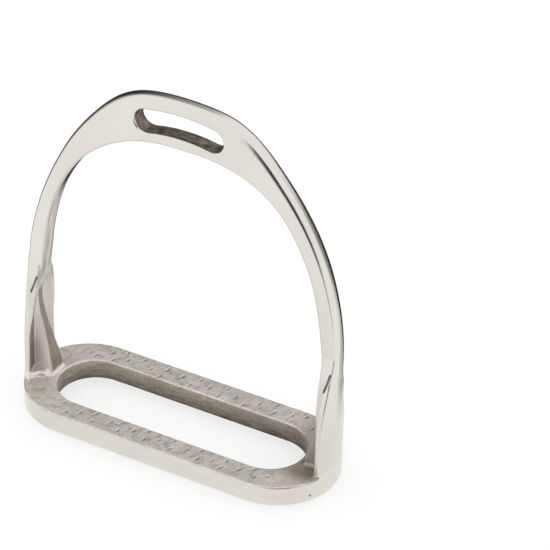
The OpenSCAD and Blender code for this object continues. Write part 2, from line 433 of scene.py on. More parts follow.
CUTS = [(crease_path(points), half_w) for points, half_w in CREASES]


def foot(x, y, z):
    """Rib and flange with the creases cut between them."""
    out = plain_foot(x, y, z)
    if z.max() <= 25:
        return out
    for path, half_w in CUTS:
        mid = path.mean(0)
        near = (np.abs(x - mid[0]) < 5) & (np.abs(y - mid[1]) < 6) & (np.abs(z - mid[2]) < 11)
        if not near.any():
            continue
        gap = line_dist(x[near], y[near], z[near], path)
        # a cut that tapers out at both ends, with a raised lip beside it
        along = np.clip((z[near] - path[-1][2]) / (path[0][2] - path[-1][2]), 0, 1)
        width = half_w * np.clip(4 * along * (1 - along), 0.0, 1) ** 0.5
        lip = 0.07 * np.exp(-((gap - 0.62) / 0.3) ** 2) * (width / half_w)
        out[near] = -smooth_min(-(out[near] - lip), gap - width, 0.3)
    return out


def weld_pad(x, y, z):
    """Weld metal that fills the corner between rib, flange and tread."""
    from_mid, from_axis = np.abs(x), np.abs(y)
    wobble = 0.14 * np.sin(1.3 * y + 0.9 * np.sign(x)) + 0.07 * np.sin(2.9 * y + 1.7)
    # straight across the rib's foot, then slanting outwards beside it
    slant = (50.5 - from_mid + 0.965 * (from_axis - 3.6)) / 1.39
    plan = np.maximum(50.2 - from_mid, slant) + wobble
    plan = np.maximum(plan, from_axis - 9.6 + 0.3 * np.sign(y) * np.sign(x))
    height = np.where(x < 0, 1.5, -0.9)           # hardly any on the right
    pad = corner(plan, z - (TREAD_T + height + 0.12 * np.sin(1.9 * y)), 1.3)
    return np.maximum(pad, FOOT_Z - z)


# ------------------------------------------------------------ tread
def plain_tread(x, y, z):
    rim = rim_dist(x, y)
    window = WINDOW_R - slot_radius(x, y, WINDOW_X)
    top, bottom = z - TREAD_T, -z
    outside = np.maximum(corner(rim, top, 0.65), corner(rim, bottom, 0.8))
    inside = np.maximum(corner(window, top, 0.5), corner(window, bottom, 0.45))
    return np.maximum(outside, inside)


def grip_marks():
    """Rows of x, y, heading, half length, half width and depth."""
    rng = np.random.default_rng(41)
    rows = []
    for x, y in FRONT_MARKS + BACK_MARKS:
        heading = (-0.32 if y < 0 else -0.15) + rng.normal(0, 0.14)
        rows.append((x, y, heading, 1.0 * rng.uniform(0.75, 1.15),
                     0.42 * rng.uniform(0.85, 1.2), 0.34 * rng.uniform(0.75, 1.15)))
    return np.array(rows)


MARKS = grip_marks()


def mark_relief(x, y):
    """Depth of the marks below the tread's top; the burr is negative."""
    out = np.zeros_like(x)
    for mark_x, mark_y, heading, length, width, depth in MARKS:
        near = (np.abs(x - mark_x) < 2.6) & (np.abs(y - mark_y) < 2.6)
        if not near.any():
            continue
        dx, dy = x[near] - mark_x, y[near] - mark_y
        along = dy * math.cos(heading) - dx * math.sin(heading)
        across = dx * math.cos(heading) + dy * math.sin(heading)
        across = across + 0.18 * along * along            # a slight crescent
        cut = depth * np.exp(-0.9 * ((along / length) ** 2 + (across / width) ** 2) ** 1.5)
        burr = 0.12 * depth * np.exp(-((along / length) ** 2)
                                     - ((across + 1.9 * width) / (0.7 * width)) ** 2)
        out[near] += cut - burr
    return out


def detailed_tread(x, y, z):
    """The tread with its pit, its marks and the uneven cast top."""
    relief = np.zeros_like(x)
    near = (np.abs(x - PIT[0]) < 2) & (np.abs(y - PIT[1]) < 2) & (np.abs(z - PIT[2]) < 2)
    if near.any():
        gap_sq = (x[near] - PIT[0]) ** 2 + (y[near] - PIT[1]) ** 2 + 2 * (z[near] - PIT[2]) ** 2
        relief[near] = 0.28 * np.exp(-gap_sq / 0.22)
    # the relief fades out down the walls and towards the rim
    amount = (np.clip((z - (TREAD_T - 0.9)) / 0.6, 0, 1)
              * np.clip((-rim_dist(x, y) - 0.9) / 0.5, 0, 1))
    top = (amount > 0) & (z < TREAD_T + 0.6)
    if top.any():
        top_x, top_y = x[top], y[top]
        relief[top] += amount[top] * (mark_relief(top_x, top_y)
                                      + 0.022 * noise2(top_x, top_y, scale=3.1, seed=5)
                                      + 0.022 * noise2(top_x, top_y, scale=1.2, seed=6))
    return plain_tread(x, y, z) + relief


# ------------------------------------------------------------ the whole solid
def join(tread_d, foot_d, x, y, z):
    """Tread and foot run together in a weld that leaves the rim alone."""
    welded = smooth_min(smooth_min(tread_d, foot_d, FILLET), weld_pad(x, y, z), PAD_BLEND)
    return np.maximum(welded, rim_dist(x, y))


def lower_solid(x, y, z, tread):
    tread_d = tread(x, y, z)
    out = np.where(z > 12, 50.0, tread_d)        # plainly empty above the tread
    at_foot = np.abs(x) > FOOT_X
    if at_foot.any():
        x, y, z = x[at_foot], y[at_foot], z[at_foot]
        foot_d = np.maximum(foot(x, y, z), FOOT_Z - z)
        out[at_foot] = np.where(z > TREAD_T + 5.0, foot_d,
                                join(tread_d[at_foot], foot_d, x, y, z))
    return out


def solid(x, y, z, tread):
    """The iron with the given tread; the cheap upper part is done apart."""
    out = np.empty_like(z)
    high = z > UPPER_Z
    if high.any():
        out[high] = upper_bow(x[high], y[high], z[high])
    low = ~high
    if low.any():
        out[low] = lower_solid(x[low], y[low], z[low], tread)
    return out


def plain_iron(x, y, z):
    return solid(x, y, z, plain_tread)


def detailed_iron(x, y, z):
    return solid(x, y, z, detailed_tread)


# ------------------------------------------------------------------- meshes
def mesh_field(field, low, high, step):
    """Points and quads of the field's surface, sampled in slabs of height."""
    far, slab = 3.0, 20          # both in steps
    count = [int(math.ceil((high[i] - low[i]) / step)) + 1 for i in range(3)]
    axes = [low[i] + step * np.arange(count[i]) for i in range(3)]
    samples = np.full(count, far, np.float32)
    start = 0
    while start < count[2]:
        above = axes[2][start] > UPPER_Z
        stop = min(start + slab, count[2])
        if not above:
            stop = min(stop, int(np.searchsorted(axes[2], UPPER_Z, side="right")))
        # above the flanges only the bow's own thickness is sampled
        rows = np.where(np.abs(axes[1]) < 4.6)[0] if above else np.arange(count[1])
        x, y, z = np.meshgrid(axes[0], axes[1][rows], axes[2][start:stop], indexing="ij")
        values = field(x.ravel(), y.ravel(), z.ravel()).reshape(x.shape)
        samples[:, rows[0]:rows[-1] + 1, start:stop] = np.clip(values / step, -far, far)
        start = stop
    grid = openvdb.FloatGrid(far)
    grid.copyFromArray(samples)
    points, quads = grid.convertToQuads(0.0)
    return np.array(low) + points.astype(float) * step, quads.astype(np.int64)


def outward(points, quads, field):
    """Turns the faces so that they look out of the solid, judged by a sample."""
    sample = points[quads[::37]]
    normals = np.cross(sample[:, 1] - sample[:, 0], sample[:, 2] - sample[:, 0])
    facing = (normals * gradient(field, sample.mean(1))).sum(1) > 0
    return quads[:, ::-1] if facing.mean() < 0.5 else quads


def make_object(name, mesh):
    item = bpy.data.objects.new(name, mesh)
    bpy.context.scene.collection.objects.link(item)
    return item


def mesh_from(name, points, quads):
    mesh = bpy.data.meshes.new(name)
    mesh.vertices.add(len(points))
    mesh.vertices.foreach_set("co", (points * MM).astype(np.float32).ravel())
    mesh.loops.add(quads.size)
    mesh.loops.foreach_set("vertex_index", quads.astype(np.int32).ravel())
    mesh.polygons.add(len(quads))
    mesh.polygons.foreach_set("loop_start", np.arange(0, quads.size, 4, dtype=np.int32))
    mesh.update(calc_edges=True)
    return mesh


def bmesh_to_mesh(bm, name):
    bmesh.ops.recalc_face_normals(bm, faces=bm.faces[:])
    mesh = bpy.data.meshes.new(name)
    bm.to_mesh(mesh)
    bm.free()
    return mesh


def shade_smooth(mesh):
    mesh.polygons.foreach_set("use_smooth", np.ones(len(mesh.polygons), bool))


def coords(mesh):
    flat = np.empty(len(mesh.vertices) * 3, np.float32)
    mesh.vertices.foreach_get("co", flat)
    return flat.reshape(-1, 3).astype(float) / MM


def set_true_normals(mesh):
    """Shading normals from the solid itself, so reflections run clean."""
    shade_smooth(mesh)
    normals = gradient(detailed_iron, coords(mesh), 0.03)
    normals /= np.maximum(np.linalg.norm(normals, axis=1), 1e-9)[:, None]
    vertex_of = np.empty(len(mesh.loops), np.int32)
    mesh.loops.foreach_get("vertex_index", vertex_of)
    per_loop = normals[vertex_of]
    for poly in mesh.polygons:      # the parted face keeps its own flat normal
        if abs(abs(poly.normal.z) - 1) < 1e-3 and abs(poly.center.z / MM - CUT_Z) < 1e-3:
            per_loop[poly.loop_start:poly.loop_start + poly.loop_total] = tuple(poly.normal)
    mesh.normals_split_custom_set(per_loop.astype(np.float32))


def part_at(mesh, name, cut_z, keep_above):
    """One side of a mesh, cut level at cut_z and closed again."""
    bm = bmesh.new()
    bm.from_mesh(mesh)
    cut = bmesh.ops.bisect_plane(bm, geom=bm.verts[:] + bm.edges[:] + bm.faces[:], dist=1e-8,
                                 plane_co=(0, 0, cut_z * MM), plane_no=(0, 0, 1),
                                 clear_outer=not keep_above, clear_inner=keep_above)
    edges = [e for e in cut["geom_cut"] if isinstance(e, bmesh.types.BMEdge) and e.is_boundary]
    bmesh.ops.holes_fill(bm, edges=edges, sides=0)
    return bmesh_to_mesh(bm, name)


def near_feature(points):
    """Marks the points beside a mark, the pit or a crease."""
    x, y, z = points.T
    hit = np.zeros(len(points), bool)
    top = np.abs(z - TREAD_T) < 0.6
    for mark_x, mark_y in MARKS[:, :2]:
        hit |= top & ((x - mark_x) ** 2 + (y - mark_y) ** 2 < 1.7 ** 2)
    hit |= ((points - np.array(PIT)) ** 2).sum(1) < 1.5 ** 2
    for path, _ in CUTS:
        box = (np.abs(points - path.mean(0)) < (3.5, 4.5, 10.0)).all(1).nonzero()[0]
        if len(box):
            hit[box[line_dist(*points[box].T, path) < 1.5]] = True
    return hit


def refine(mesh, cuts):
    """Splits the faces round the small features and lays them on the solid."""
    bm = bmesh.new()
    bm.from_mesh(mesh)

    def vertices():
        bm.verts.ensure_lookup_table()
        points = np.array([v.co[:] for v in bm.verts]) / MM
        return points, near_feature(points)

    _, hit = vertices()
    edges = [e for e in bm.edges if hit[e.verts[0].index] and hit[e.verts[1].index]]
    bmesh.ops.subdivide_edges(bm, edges=edges, cuts=cuts, use_grid_fill=True)
    points, hit = vertices()
    laid = to_surface(detailed_iron, points[hit], rounds=5, cap=0.3)
    good = ((np.abs(detailed_iron(*laid.T)) < 0.03)
            & (np.linalg.norm(laid - points[hit], axis=1) < 0.45))
    for i, place in zip(np.nonzero(hit)[0][good], laid[good]):
        bm.verts[i].co = tuple(place * MM)
    bm.to_mesh(mesh)
    bm.free()
    mesh.update()


def make_bead(name, side, points, quads):
    """The weld round one foot: the fillet's own surface, made into a thin solid
    whose edges sink into the foot and the tread. side is -1 left, 1 right."""
    least = 0.05                 # thinnest weld that is covered
    x, y, z = points.T
    near = (side * x > FOOT_X) & (z > TREAD_T - 0.6) & (z < TREAD_T + 4.5)
    x, y, z = points[near].T
    weld = np.full(len(points), -1.0)
    weld[near] = (np.minimum(plain_tread(x, y, z), foot(x, y, z))
                  * np.clip((-rim_dist(x, y) - 0.15) / 0.8, 0, 1))
    faces = quads[(weld[quads] > least).all(1)]
    used, renumbered = np.unique(faces, return_inverse=True)
    surface = points[used]
    normals = gradient(plain_iron, surface, 0.03)
    normals /= np.linalg.norm(normals, axis=1)[:, None]
    swell = smooth(np.clip((weld[used] - least) / 0.12, 0, 1))
    outer = surface + normals * (-0.03 + 0.10 * swell)[:, None]
    inner = surface - normals * 0.55
    bm = bmesh.new()
    outer_verts = [bm.verts.new(tuple(place * MM)) for place in outer]
    inner_verts = [bm.verts.new(tuple(place * MM)) for place in inner]
    for face in renumbered.reshape(faces.shape):
        if len(set(face)) == 4:
            bm.faces.new([outer_verts[i] for i in face])
            bm.faces.new([inner_verts[i] for i in face[::-1]])
    index_of = {v: i for i, v in enumerate(outer_verts)}
    rims = [e for e in bm.edges if e.is_boundary and e.verts[0] in index_of]
    for edge in rims:
        i, j = (index_of[v] for v in edge.verts)
        bm.faces.new([outer_verts[i], outer_verts[j], inner_verts[j], inner_verts[i]])
    mesh = bmesh_to_mesh(bm, name)
    shade_smooth(mesh)
    mesh.set_sharp_from_angle(angle=math.radians(60))
    return make_object(name, mesh)


def add_painted_shade(mesh):
    """Stores how much painted shade each point gets: the bottoms of the marks and the pit."""
    points = coords(mesh)
    on_top = np.clip((points[:, 2] - (TREAD_T - 0.9)) / 0.3, 0, 1)
    in_marks = np.clip(mark_relief(points[:, 0], points[:, 1]) / 0.16 - 0.25, 0, 1) * on_top
    from_pit = np.linalg.norm((points - np.array(PIT)) * (1.0, 1.0, 1.4), axis=1)
    painted_shade = np.maximum(in_marks, np.clip((0.62 - from_pit) / 0.2, 0, 1))
    attribute = mesh.attributes.new("painted_shade", "FLOAT", "POINT")
    attribute.data.foreach_set("value", painted_shade.astype(np.float32))


def build_iron():
    """Makes the beads, the bow and the tread, and returns the four objects."""
    # half extents in X and Y, in whole steps so that the grid is centred
    half_x, half_y = (math.ceil(half / STEP) * STEP for half in (61.6, 23.7))
    points, quads = mesh_field(plain_iron, (-half_x, -half_y, -1.2),
                               (half_x, half_y, OUT_TOP + RISE + 1.5), STEP)
    quads = outward(points, quads, plain_iron)
    points = to_surface(detailed_iron, points)
    whole = mesh_from("iron", points, quads)
    refine(whole, cuts=2)
    left = make_bead("left_foot_bead", -1, points, quads)
    right = make_bead("right_foot_bead", 1, points, quads)
    bow_mesh = part_at(whole, "bow_visual", CUT_Z, keep_above=True)
    tread_mesh = part_at(whole, "tread_visual", CUT_Z, keep_above=False)
    set_true_normals(bow_mesh)
    set_true_normals(tread_mesh)
    add_painted_shade(tread_mesh)
    bpy.data.meshes.remove(whole)
    return (make_object("bow_visual", bow_mesh), make_object("tread_visual", tread_mesh),
            left, right)


# ---------------------------------------------------------------- shader tools
def operator(operation, swapped=False):
    def apply(self, other):
        pair = (other, self) if swapped else (self, other)
        return self.nodes.math(operation, *pair)
    return apply


class Value:
    """A shader output that is reckoned with like a number."""

    def __init__(self, nodes, socket):
        self.nodes = nodes
        self.socket = socket

    __add__ = operator("ADD")
    __radd__ = operator("ADD", swapped=True)
    __sub__ = operator("SUBTRACT")
    __rsub__ = operator("SUBTRACT", swapped=True)
    __mul__ = operator("MULTIPLY")
    __truediv__ = operator("DIVIDE")
    __lt__ = operator("LESS_THAN")
    __gt__ = operator("GREATER_THAN")
    max = operator("MAXIMUM")

    def __abs__(self):
        return self.nodes.math("ABSOLUTE", self)

    def sign(self):
        return self.nodes.math("SIGN", self)


def clamp(value):
    """Keeps the sum that was just made between 0 and 1."""
    value.socket.node.use_clamp = True
    return value


def below(value, limit, slope):
    """0 at the limit, rising by `slope` per unit below it, up to 1."""
    return clamp((limit - value) * slope)


def above(value, limit, slope):
    return clamp((value - limit) * slope)


def hypot(a, b):
    return a.nodes.math("SQRT", a * a + b * b)


class Nodes:
    """Short names for the few node kinds the materials use. Lengths are in metres."""

    MIX_SOCKETS = {"FLOAT": (2, 3, 0), "VECTOR": (4, 5, 1), "RGBA": (6, 7, 2)}

    def __init__(self, tree):
        tree.nodes.clear()
        self.tree = tree

    def add(self, kind, inputs=None, **settings):
        node = self.tree.nodes.new("ShaderNode" + kind)
        for name, setting in settings.items():
            setattr(node, name, setting)
        for key, value in (inputs or {}).items():
            socket = node.inputs[key]
            if isinstance(value, Value):
                value = value.socket
            if isinstance(value, bpy.types.NodeSocket):
                self.tree.links.new(value, socket)
            elif value is not None:
                socket.default_value = (*value, 1) if socket.type == "RGBA" else value
        return node

    def get(self, kind, inputs=None, out=0, **settings):
        return Value(self, self.add(kind, inputs, **settings).outputs[out])

    @cached_property
    def place(self):
        return self.get("TexCoord", out="Object")

    def axes(self, vector):
        return [Value(self, out) for out in self.add("SeparateXYZ", {0: vector}).outputs]

    def face_normal(self):
        return self.axes(self.get("NewGeometry", out="True Normal"))

    def math(self, operation, a, b=None):
        return self.get("Math", {0: a, 1: b}, operation=operation)

    def vector(self, operation, a, b=None, out=0):
        return self.get("VectorMath", {0: a, 1: b}, out, operation=operation)

    def scaled(self, vector, scale):
        return self.get("VectorMath", {0: vector, "Scale": scale}, operation="SCALE")

    def noise(self, scale=1.0, detail=3.0, rough=0.55, stretch=None, turn=(0, 0, 0)):
        """Noise, either of one scale or with a scale for each axis in `stretch`."""
        place = self.place
        if stretch:
            place = self.get("Mapping", {"Vector": place, "Scale": stretch, "Rotation": turn})
        return self.get("TexNoise", {"Vector": place, "Scale": scale, "Detail": detail,
                                     "Roughness": rough}, out="Fac")

    def ramp(self, value, low, high, start=0.0, end=1.0):
        """Grey from `start` at `low` to `end` at `high`."""
        node = self.add("ValToRGB", {0: value})
        for stop, position, grey in zip(node.color_ramp.elements, (low, high), (start, end)):
            stop.position = position
            stop.color = (grey, grey, grey, 1)
        return Value(self, node.outputs[0])

    def smooth_range(self, value, low, high, start=0.0, end=1.0):
        return self.get("MapRange", {"Value": value, "From Min": low, "From Max": high,
                                     "To Min": start, "To Max": end},
                        interpolation_type="SMOOTHSTEP")

    def mix(self, share, a, b, kind="RGBA", blend="MIX"):
        first, second, out = self.MIX_SOCKETS[kind]
        return self.get("Mix", {0: share, first: a, second: b}, out,
                        data_type=kind, blend_type=blend)

    def mix_shader(self, share, a, b):
        return self.get("MixShader", {0: share, 1: a, 2: b})

    def bump(self, height, distance, strength, normal=None):
        return self.get("Bump", {"Height": height, "Distance": distance,
                                 "Strength": strength, "Normal": normal})

    def near_line(self, a, b, full, none):
        """1 within `full` mm of the straight line from a to b, 0 beyond `none`."""
        a, b = Vector(tuple(a)) * MM, Vector(tuple(b)) * MM
        span = b - a
        offset = self.vector("SUBTRACT", self.place, tuple(a))
        along = clamp(self.vector("DOT_PRODUCT", offset, tuple(span), out="Value")
                      / span.length_squared)
        gap = self.vector("SUBTRACT", offset, self.scaled(tuple(span), along))
        distance = self.vector("LENGTH", gap, out="Value")
        return clamp((none * MM - distance) / ((none - full) * MM))


def make_material(name, surface):
    """A material whose surface is what `surface` builds in its node tree."""
    material = bpy.data.materials.new(name)
    material.use_nodes = True
    nodes = Nodes(material.node_tree)
    nodes.add("OutputMaterial", {0: surface(nodes)})
    return material


# ---------------------------------------------------------------- materials
BOW_STEEL = (0.765, 0.75, 0.72)
TREAD_STEEL = (0.805, 0.79, 0.752)
BEAD_STEEL = (0.84, 0.81, 0.77)
# the same weld steel, darkened with painted shade for the right bead
SHADED_BEAD_STEEL = (0.34, 0.31, 0.28)
POLISH_BUMP = dict(distance=0.000012, strength=0.6)
RAW_STOPS = dict(low=0.36, high=0.62)      # contrast of streaks and rust


def polished(nodes, base):
    """Polished steel: faint buffing lines, soft cloudiness, tiny pits.
    Returns colour, roughness and height."""
    lines = nodes.noise(stretch=(900, 900, 5200), detail=2.0, rough=0.5)
    slanted = nodes.noise(stretch=(420, 420, 2600), turn=(0.0, 0.5, 0.0), detail=2.0, rough=0.6)
    cloud = nodes.noise(scale=60, detail=4.0, rough=0.6)
    fine = nodes.noise(scale=900, detail=3.0, rough=0.6)
    wide = nodes.noise(stretch=(70, 70, 34), detail=2.0, rough=0.5)
    # a third small clouds, two thirds wide ones
    tone = (nodes.ramp(cloud, low=0.3, high=0.75) * 0.35
            + nodes.ramp(wide, low=0.3, high=0.7) * 0.65)
    darker, lighter = tuple(c * 0.95 for c in base), tuple(min(1, c * 1.04) for c in base)
    colour = nodes.mix(tone, darker, lighter)
    rough = nodes.mix(nodes.ramp(cloud, low=0.25, high=0.8), 0.16, 0.24, kind="FLOAT")
    rough = rough + (lines - 0.5) * 0.10
    height = lines * 0.5 + (slanted * 0.4 + fine * 0.25)
    return colour, rough, height


def cast(nodes):
    """Dull as-cast steel: grainy, mottled warm grey.
    Returns colour, roughness and height."""
    grain = nodes.noise(scale=1500, detail=3.0, rough=0.65)
    middle = nodes.noise(scale=420, detail=4.0, rough=0.6)
    broad = nodes.noise(scale=110, detail=3.0, rough=0.55)
    speck = nodes.noise(scale=1150, detail=4.0, rough=0.7)
    colour = nodes.mix(nodes.ramp(broad, low=0.3, high=0.72),
                       (0.70, 0.66, 0.615), (0.84, 0.805, 0.76))
    # darker patches, then dark and bright specks
    for pattern, stops, tint in (
            (middle, dict(low=0.28, start=1.0, high=0.5, end=0.0), (0.59, 0.555, 0.515)),
            (speck, dict(low=0.36, start=0.45, high=0.47, end=0.0), (0.46, 0.425, 0.385)),
            (speck, dict(low=0.55, start=0.0, high=0.70, end=0.6), (1.0, 0.97, 0.93))):
        colour = nodes.mix(nodes.ramp(pattern, **stops), colour, tint)
    rough = nodes.mix(nodes.ramp(middle, low=0.3, high=0.7), 0.42, 0.62, kind="FLOAT")
    height = grain * 0.55 + (middle * 1.1 + broad * 0.8)
    return colour, rough, height


def eye_wall(nodes, x, y, z, from_mid):
    """Mask of the eye's walls, which were left as cast."""
    off_arc = abs(hypot(x, z - EYE_ARC_Z * MM) - EYE_ARC_R * MM)
    eye = (off_arc < (EYE_H + 0.35) * MM) * (from_mid < (EYE_X + EYE_H + 0.5) * MM)
    wobble = (nodes.noise(scale=300, detail=2.0) - 0.5) * 0.0005
    return eye * below(abs(y) + wobble, limit=0.00275, slope=4000.0)


def shaded_raw_rib(y, z, inward):
    """Mask of the rib's inner edge and the hollow in front of it, left as cast; its colour there
    also carries painted shade.
    """
    facing = above(inward, limit=0.80, slope=9.0)
    low = below(z, limit=0.0435, slope=300.0)
    # the raw edge narrows with height, the rib's root widens
    edge_w = (0.00385 - (z - 0.0125).max(0.0) * 0.118).max(0.0014)
    root_y = 0.0030 + (z - 0.018).max(0.0) * 0.085
    on_edge = below(abs(y), limit=edge_w, slope=4000.0)
    in_hollow = above(y * -1.0, limit=root_y, slope=4000.0)
    return facing * low * on_edge.max(in_hollow)


def rusty_patch(x, y, z, radius):
    """Mask of the flange's outer face behind the right branch, below the bow."""
    lean = (0.0437 - z) * 0.27          # its front edge slants back downwards
    patch = above(y - 0.0036, limit=lean, slope=2500.0)
    patch *= above(z, limit=0.0285, slope=900.0)
    patch *= below(z, limit=0.0450, slope=900.0)
    patch *= x > 0.0
    return patch * above(radius, limit=(END_R - 1.5) * MM, slope=2000.0)


def crease_painted_shade(nodes):
    """Mask of the painted shade along the creases."""
    painted_shade = None
    for path, half_w in CUTS:
        middle = len(path) // 2
        for start, end in ((path[1], path[middle]), (path[middle], path[-2])):
            piece = nodes.near_line(start, end, full=half_w * 0.75, none=half_w * 1.5)
            painted_shade = piece if painted_shade is None else painted_shade.max(piece)
    return painted_shade


def bow_steel(nodes):
    polish_colour, polish_rough, polish_height = polished(nodes, BOW_STEEL)
    cast_colour, cast_rough, cast_height = cast(nodes)
    x, y, z = nodes.axes(nodes.place)
    normal_x = nodes.face_normal()[0]
    from_mid = abs(x)
    inward = x.sign() * normal_x * -1.0
    radius = hypot((from_mid - END_X * MM).max(0.0), y)

    eye = eye_wall(nodes, x, y, z, from_mid)
    raw = eye.max(shaded_raw_rib(y, z, inward))
    # on the rib the cast colour is darkened with streaky painted shade, near black in places
    drag = nodes.ramp(nodes.noise(stretch=(330, 1500, 900), detail=4.0, rough=0.7),
                      low=0.36, high=0.66)
    dragged_shade = nodes.mix(drag, (0.13, 0.112, 0.095), (0.66, 0.60, 0.54))
    raw_and_shaded_colour = nodes.mix(1.0, cast_colour, nodes.mix(eye, (0.50, 0.46, 0.42), dragged_shade),
                           blend="MULTIPLY")

    # upright streaks on the inner face of the branches
    streak = nodes.noise(stretch=(600, 900, 26), detail=3.0, rough=0.6)
    drawn = above(inward, limit=0.55, slope=4.0)
    drawn *= below(z, limit=0.100, slope=28.0)
    drawn *= above(z, limit=0.040, slope=200.0)
    streaked = nodes.mix(nodes.ramp(streak, **RAW_STOPS),
                         (0.30, 0.275, 0.25), (0.68, 0.65, 0.61))
    polish_colour = nodes.mix(drawn, polish_colour, streaked)

    # the rib's flanks and the flange's inside have a satin finish, darkened low on the right by
    # painted shade
    satin = (below(radius, limit=(END_R - 1.6) * MM, slope=2500.0)
             * below(z, limit=0.047, slope=180.0))
    satin *= 1.0 - raw
    satin_colour = nodes.mix(nodes.noise(scale=260, detail=3.0),
                             (0.60, 0.57, 0.53), (0.74, 0.71, 0.67))
    low_right_painted_shade = (x > 0.0) * below(z, limit=0.034, slope=80.0)
    satin_colour = nodes.mix(low_right_painted_shade, satin_colour, (0.36, 0.325, 0.29))
    colour = nodes.mix(satin, polish_colour, satin_colour)

    rust = rusty_patch(x, y, z, radius)
    rust_noise = nodes.noise(scale=700, detail=4.0, rough=0.7)
    rust_colour = nodes.mix(nodes.ramp(rust_noise, **RAW_STOPS),
                            (0.24, 0.22, 0.20), (0.74, 0.71, 0.67))
    rust_strength = 0.85
    colour = nodes.mix(rust * rust_strength, colour, rust_colour)
    colour = nodes.mix(raw, colour, raw_and_shaded_colour)

    satin_rough, satin_dulling = 0.45, 0.62
    # painted shade darkens the creases to near black
    return nodes.get("BsdfPrincipled", {
        "Base Color": nodes.mix(crease_painted_shade(nodes), colour, (0.10, 0.092, 0.082)),
        "Roughness": nodes.mix(raw.max(rust),
                               nodes.mix(satin, polish_rough, satin_rough, kind="FLOAT"),
                               cast_rough, kind="FLOAT"),
        "Metallic": 1.0 - satin * satin_dulling,
        "Normal": nodes.mix(raw.max(rust), nodes.bump(polish_height, **POLISH_BUMP),
                            nodes.bump(cast_height, distance=0.00008, strength=0.8),
                            kind="VECTOR")})


def tread_steel(nodes):
    polish_colour, polish_rough, polish_height = polished(nodes, TREAD_STEEL)
    cast_colour, cast_rough, cast_height = cast(nodes)
    x, y, z = nodes.axes(nodes.place)
    normal_z = nodes.face_normal()[2]
    from_mid = abs(x)
    radius = hypot((from_mid - END_X * MM).max(0.0), y)

    # the rim is polished, its top arris is as dull as the top, the foot above is polished
    wobble = (nodes.noise(scale=160, detail=2.0) - 0.5) * 0.0006
    rim = above(radius + wobble, limit=(END_R - 0.75) * MM, slope=2200.0)
    rim = ((rim * below(normal_z, limit=0.40, slope=6.0))
           .max(above(z, limit=(TREAD_T + 0.35) * MM, slope=3000.0)))

    # the window's walls are darkened with painted shade, and drawn with long scratches
    window_r = hypot((from_mid - WINDOW_X * MM).max(0.0), y)
    wall = (below(window_r, limit=(WINDOW_R + 0.3) * MM, slope=4000.0)
            * below(z, limit=(TREAD_T - 0.45) * MM, slope=4000.0))
    scratch = nodes.noise(stretch=(150, 150, 1500), detail=3.0, rough=0.65)
    # painted shade: lighter towards the top, darker towards the bottom and towards the right
    shade = 0.22 + z / (TREAD_T * MM) * 0.52
    shade = shade - x.max(0.0) * 2.2
    shade = shade + (scratch - 0.5) * 0.75
    warm = (0.80, 0.74, 0.68)
    wall_shade_and_scratches = nodes.get("CombineColor", {i: shade * warm[i] for i in range(3)})
    colour = nodes.mix(wall, cast_colour, wall_shade_and_scratches, blend="MULTIPLY")

    # browner by the right foot: painted shade and painted reflection of the rib
    from_front, front_slope = y + 0.014, 200.0
    right_foot_painted_shade = above(x, limit=0.036, slope=70.0) * clamp(from_front * front_slope)
    colour = nodes.mix(right_foot_painted_shade, colour, (0.56, 0.49, 0.43), blend="MULTIPLY")

    buff = nodes.noise(stretch=(75, 75, 4300), detail=3.0, rough=0.6)
    polish_colour = nodes.mix(nodes.ramp(buff, low=0.30, start=0.55, high=0.52, end=0.0),
                              polish_colour, (0.66, 0.645, 0.615))
    colour = nodes.mix(rim, colour, polish_colour)

    # painted dark reflection: the arris is dark in patches where the faces lean at about this
    # normal
    arris_normal, arris_falloff = 0.45, 4.5
    dark_arris_reflection = (clamp(1.0 - abs(normal_z - arris_normal) * arris_falloff)
             * above(radius, limit=(END_R - 0.8) * MM, slope=4000.0))
    patches = nodes.noise(scale=150, detail=4.0, rough=0.7)
    dark_arris_reflection *= nodes.ramp(patches, low=0.42, high=0.58, end=0.75)
    colour = nodes.mix(dark_arris_reflection, colour, (0.22, 0.20, 0.175))

    # painted shade in the bottoms of the marks and in the pit
    painted_shade = nodes.get("Attribute", out="Fac", attribute_name="painted_shade")
    painted_shade_strength = 0.60
    colour = nodes.mix(painted_shade * painted_shade_strength, colour, (0.15, 0.135, 0.12))
    return nodes.get("BsdfPrincipled", {
        "Base Color": colour,
        "Roughness": nodes.mix(rim, cast_rough, polish_rough, kind="FLOAT"),
        "Metallic": 1.0,
        "Normal": nodes.mix(rim, nodes.bump(cast_height, distance=0.00010, strength=0.8),
                            nodes.bump(polish_height, **POLISH_BUMP), kind="VECTOR")})


def bead_steel(nodes, base, metallic):
    colour, rough, height = polished(nodes, base)
    lumps = nodes.noise(scale=520, detail=3.0, rough=0.6)
    least_dulling, lump_dulling = 0.12, 0.22
    fine = nodes.bump(height, **POLISH_BUMP)
    return nodes.get("BsdfPrincipled", {
        "Base Color": colour,
        "Roughness": rough + (least_dulling + lumps * lump_dulling),
        "Metallic": metallic,
        "Normal": nodes.bump(lumps, distance=0.00012, strength=0.7, normal=fine)})


# ---------------------------------------------------------------- the iron
bow, tread, left_bead, right_bead = build_iron()
bow.data.materials.append(make_material("polished_steel_look", bow_steel))
tread.data.materials.append(make_material("tread_steel_look", tread_steel))
left_bead.data.materials.append(make_material(
    "bead_steel_look", lambda nodes: bead_steel(nodes, BEAD_STEEL, metallic=0.8)))
# the right bead is the same weld, its colour darkened with painted shade
right_bead.data.materials.append(make_material(
    "shaded_bead_steel_look", lambda nodes: bead_steel(nodes, SHADED_BEAD_STEEL, metallic=0.95)))

for item, part, slot in ((bow, "bow", "polished_steel"), (tread, "tread", "cast_steel"),
                         (left_bead, "left_foot_weld", "bright_bead"),
                         (right_bead, "right_foot_weld", "bright_bead")):
    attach(item, "root")
    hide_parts(part)

# -------------------------------------------------------------------- stage
FLOOR_HALF = 3         # metres
FLOOR_Z = -0.0002
WHITE = (1, 1, 1)
LIGHT = 1.06           # strength of the white all round
MIRROR_LIGHT = 1.0     # strength of what the steel mirrors
